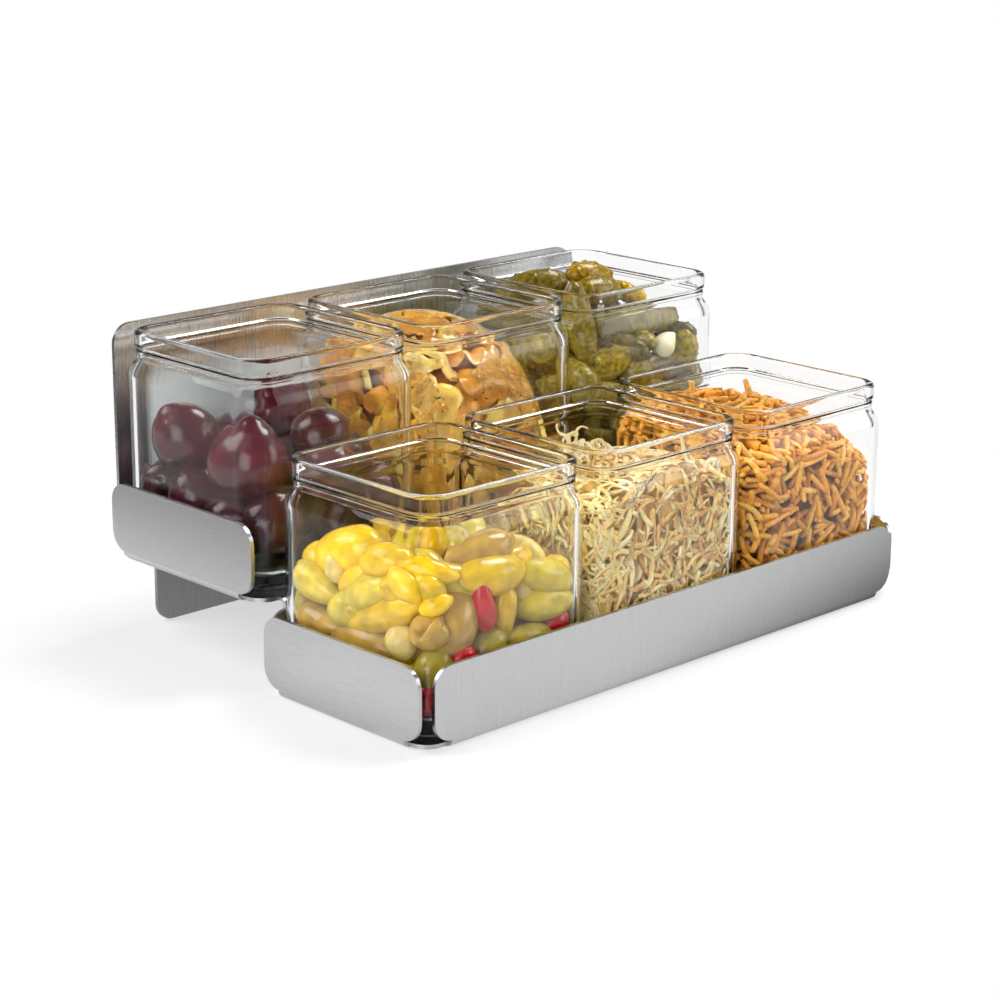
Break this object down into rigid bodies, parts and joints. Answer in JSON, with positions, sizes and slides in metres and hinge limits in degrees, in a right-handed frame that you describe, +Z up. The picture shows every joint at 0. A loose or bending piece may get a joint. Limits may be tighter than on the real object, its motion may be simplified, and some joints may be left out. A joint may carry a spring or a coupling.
{
  "type": "condiment station",
  "caption": "Two-tier condiment station: a folded stainless steel stand holding square glass jars of pickles and crisp toppings in a front and a raised rear row.",
  "frame": {"origin": "on the table, under the middle of the stand's overall box", "axes": "+Z up; +X along the row of jars, to the right seen from the low front lip; +Y from the front lip to the tall back panel"},
  "size_m": [0.33, 0.231, 0.1562],
  "materials": {
    "brushed_stainless": "brushed",
    "brushed_stainless_leg": "brushed",
    "clear_glass": "polished pressed glass",
    "yellow_pepper_skin": "wet, smooth pickled skin",
    "red_pepper_skin": "wet, smooth pickled skin",
    "cabbage": "moist shreds",
    "fried_dough": "dry, fried and slightly rough",
    "beet_flesh": "wet and glossy",
    "onion": "wet, half clear",
    "gherkin_skin": "wet, warty skin",
    "garlic": "smooth and moist"
  },
  "bodies": {
    "stand": {"stand": "brushed_stainless", "support_leg": "brushed_stainless_leg"},
    "jar_front_left": {"jar_front_left": "clear_glass", "yellow_peppers": "yellow_pepper_skin", "red_peppers": "red_pepper_skin"},
    "jar_front_middle": {"jar_front_middle": "clear_glass", "sauerkraut": "cabbage"},
    "jar_front_right": {"jar_front_right": "clear_glass", "crisp_sticks": "fried_dough"},
    "jar_rear_left": {"jar_rear_left": "clear_glass", "beets": "beet_flesh"},
    "jar_rear_middle": {"jar_rear_middle": "clear_glass", "onion_slices": "onion"},
    "jar_rear_right": {"jar_rear_right": "clear_glass", "gherkins": "gherkin_skin", "garlic_clove": "garlic"}
  },
  "joints": [
    {"name": "jar_front_left_lift", "type": "slide", "parent": "stand", "child": "jar_front_left", "axis": [0, 0, 1], "range_m": [0, 0.12]},
    {"name": "jar_front_middle_lift", "type": "slide", "parent": "stand", "child": "jar_front_middle", "axis": [0, 0, 1], "range_m": [0, 0.12]},
    {"name": "jar_front_right_lift", "type": "slide", "parent": "stand", "child": "jar_front_right", "axis": [0, 0, 1], "range_m": [0, 0.12]},
    {"name": "jar_rear_left_lift", "type": "slide", "parent": "stand", "child": "jar_rear_left", "axis": [0, 0, 1], "range_m": [0, 0.12]},
    {"name": "jar_rear_middle_lift", "type": "slide", "parent": "stand", "child": "jar_rear_middle", "axis": [0, 0, 1], "range_m": [0, 0.12]},
    {"name": "jar_rear_right_lift", "type": "slide", "parent": "stand", "child": "jar_rear_right", "axis": [0, 0, 1], "range_m": [0, 0.12]}
  ]
}
